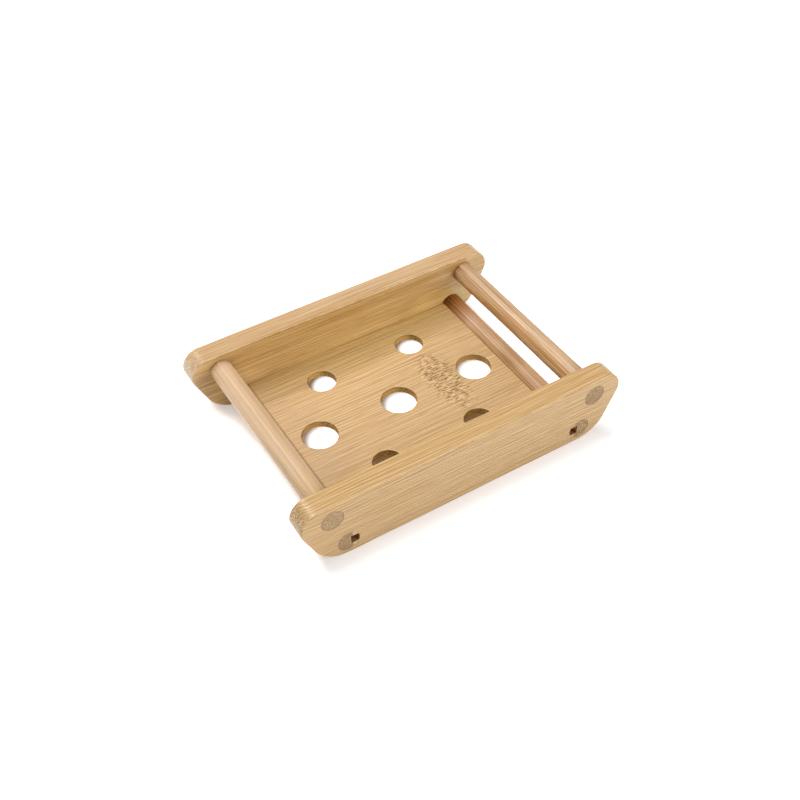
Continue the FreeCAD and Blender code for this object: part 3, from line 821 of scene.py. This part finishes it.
placePiece("front_rail", railPatches("front_rail", bores, phase=0.4),
           bamboo("frontRailBamboo", frontRailLook))
placePiece("rear_rail", railPatches("rear_rail", bores, phase=2.1),
           bamboo("rearRailBamboo", rearRailLook))
placePiece("drain_panel", panelPatches("drain_panel"),
           bamboo("panelBamboo", panelLook))
placePiece("upper_left_dowel", roundDowel("upper_left_dowel", phase=0.7),
           bamboo("upperLeftBamboo", upperLeftLook))
placePiece("upper_right_dowel", roundDowel("upper_right_dowel", phase=2.9),
           bamboo("upperRightBamboo", upperRightLook))
placePiece("lower_left_dowel", groovedDowel("lower_left_dowel"),
           bamboo("lowerLeftBamboo", lowerLeftLook))
placePiece("lower_right_dowel", groovedDowel("lower_right_dowel"),
           bamboo("lowerRightBamboo", lowerRightLook))

# White table, lit from below as a studio table is: a plain glow outside the dish's footprint, a stronger one
# far away, and bright spots under the drain holes and the gaps at both ends, which are painted pools of light
# where light through them would fall, set off the holes' middles so that one side of each stays in painted
# shade.
table = {
    "size": 12000.0, "colour": (0.86, 0.86, 0.87), "rough": 0.9,
    "glow": 0.31, "footprint": (40.0, 37.0), "footprintFade": 4.0, "bounce": (0.07, 0.035, 0.01),
    "farGlow": 0.8, "farSpan": (450.0, 1100.0),
    "spotGlow": 1.05, "shift": (3.5, 3.2), "full": 0.68, "none": 1.25,  # the last two in radii of the hole
    "gap": (62.0, 0.0, 0.0), "gapReach": (20.0, 70.0, 1000.0),
}


# A flat square. Its glow is the highest of a plain level outside the footprint, a level that rises far away,
# round spots of painted light that fall off with distance from the middle of each hole, and one long spot of
# painted light along each gap. Under the dish it is never less than the painted warm bounce light.
def makeTable():
    half = table["size"] / 2 * mm
    mesh = bpy.data.meshes.new("table")
    corners = [(-half, -half, 0), (half, -half, 0), (half, half, 0), (-half, half, 0)]
    mesh.from_pydata(corners, [], [(0, 1, 2, 3)])
    material = bpy.data.materials.new("whiteTable")
    material.use_nodes = True
    tree = material.node_tree
    shader = tree.nodes["Principled BSDF"]
    shader.inputs["Base Color"].default_value = (*table["colour"], 1.0)
    shader.inputs["Roughness"].default_value = table["rough"]
    shader.inputs["Specular IOR Level"].default_value = 0.0
    shader.inputs["Emission Strength"].default_value = 1.0
    place = addNode(tree, "TexCoord", {}).outputs["Object"]
    spot = addNode(tree, "SeparateXYZ", {"Vector": place}).outputs
    glows = []
    for axis, reach in zip("XY", table["footprint"]):
        away = calculate(tree, "ABSOLUTE", spot[axis])
        glows.append(remap(tree, away, (reach - table["footprintFade"]) * mm, reach * mm, 0.0, table["glow"]))
    distance = calculatePlace(tree, "LENGTH", place)
    glows.append(remap(tree, distance, *metres(table["farSpan"]), 0.0, table["farGlow"], smooth=True))
    holes = [(x, 0.0, panel["rowHole"]) for x in (-panel["rowSpacing"], 0.0, panel["rowSpacing"])]
    holes += [(x, panel["sideY"], panel["sideHole"]) for x in (-panel["sideX"], panel["sideX"])]
    for x, y, hole in holes:
        centre = metres((x + table["shift"][0], y + table["shift"][1], 0.0))
        distance = calculatePlace(tree, "DISTANCE", place, centre)
        span = metres((table["none"] * hole / 2, table["full"] * hole / 2))
        glows.append(remap(tree, distance, *span, 0.0, table["spotGlow"], smooth=True))
    mirrored = calculatePlace(tree, "ABSOLUTE", place)
    gap = {"Place": mirrored, "Centre": metres(table["gap"]), "Reach": metres(table["gapReach"])}
    inside = addNode(tree, "Group", gap, node_tree=softSpot).outputs[0]
    glows.append(calculate(tree, "MULTIPLY", inside, table["spotGlow"]))
    highest = glows[0]
    for glow in glows[1:]:
        highest = calculate(tree, "MAXIMUM", highest, glow)
    grey = addNode(tree, "CombineColor", {key: highest for key in ("Red", "Green", "Blue")}).outputs[0]
    tree.links.new(blend(tree, 1.0, grey, table["bounce"], "LIGHTEN"), shader.inputs["Emission Color"])
    mesh.materials.append(material)
    made = bpy.data.objects.new("table", mesh)
    bpy.context.scene.collection.objects.link(made)


makeTable()

# Soft light: an even dome, a key box behind and above on the left, one overhead, two fills from the front
# and a rim box at the back. The backdrop is what the camera sees of the dome. Boxes are in metres.
lights = {
    "dome": 0.25, "backdrop": 0.95,
    "boxes": [
        {"name": "keyBox", "at": (-0.27, 0.31, 1.0), "size": 0.38, "watts": 6.6},
        {"name": "topBox", "at": (-0.12, 0.10, 1.0), "size": 0.35, "watts": 3.0},
        {"name": "rightBox", "at": (0.75, -0.70, 0.45), "size": 0.6, "watts": 6.2},
        {"name": "frontBox", "at": (-0.45, -0.95, 0.40), "size": 0.7, "watts": 1.8},
        {"name": "rimBox", "at": (-0.31, 0.67, 0.83), "size": 0.22, "watts": 2.2},
    ],
}


# The world's strength is the backdrop for camera rays and the dome for all others. Each box is a square lamp
# that faces the dish, along minus its own place.
def makeLights():
    world = bpy.data.worlds.new("studio")
    bpy.context.scene.world = world
    world.use_nodes = True
    tree = world.node_tree
    background = tree.nodes["Background"].inputs
    background["Color"].default_value = (1.0, 1.0, 1.0, 1.0)
    seen = addNode(tree, "LightPath", {}).outputs["Is Camera Ray"]
    tree.links.new(remap(tree, seen, 0.0, 1.0, lights["dome"], lights["backdrop"]), background["Strength"])
    for box in lights["boxes"]:
        lamp = bpy.data.lights.new(box["name"], "AREA")
        lamp.size, lamp.energy = box["size"], box["watts"]
        made = bpy.data.objects.new(box["name"], lamp)
        made.location = box["at"]
        made.rotation_euler = (-Vector(box["at"])).to_track_quat("-Z", "Y").to_euler()
        bpy.context.scene.collection.objects.link(made)


makeLights()

# Camera where the photograph was taken from: turned round the dish, raised, and tipped a little to one side.
shot = {
    "azimuth": -30.689, "elevation": 44.961, "tip": -1.288, "distance": 597.682,
    "target": (78.224, 131.103, -145.739), "focalPixels": 1108.0, "framePixels": 800, "sensor": 36.0,
    "clip": (10.0, 20000.0),
}


# The way back to the camera is sin a cos e, -cos a cos e, sin e for azimuth a and elevation e. Right is
# level, up is square to both, and the tip turns these two. The eye is target + back * distance.
def makeCamera():
    azimuth, elevation, tip = (radians(shot[key]) for key in ("azimuth", "elevation", "tip"))
    level = np.cos(elevation)
    back = Vector((np.sin(azimuth) * level, -np.cos(azimuth) * level, np.sin(elevation)))
    right = Vector((np.cos(azimuth), np.sin(azimuth), 0.0))
    up = back.cross(right)
    tippedRight = right * np.cos(tip) + up * np.sin(tip)
    tippedUp = up * np.cos(tip) - right * np.sin(tip)
    camera = bpy.data.cameras.new("photoCamera")
    camera.sensor_width = shot["sensor"]
    camera.lens = shot["focalPixels"] / shot["framePixels"] * shot["sensor"]
    camera.clip_start, camera.clip_end = metres(shot["clip"])
    made = bpy.data.objects.new("photoCamera", camera)
    bpy.context.scene.collection.objects.link(made)
    turned = Matrix((tippedRight, tippedUp, back)).transposed().to_4x4()
    eye = Vector(shot["target"]) + back * shot["distance"]
    made.matrix_world = Matrix.Translation(eye * mm) @ turned
    bpy.context.scene.camera = made


makeCamera()
bpy.context.scene.view_settings.view_transform = "Standard"
print("table, light and camera ready")
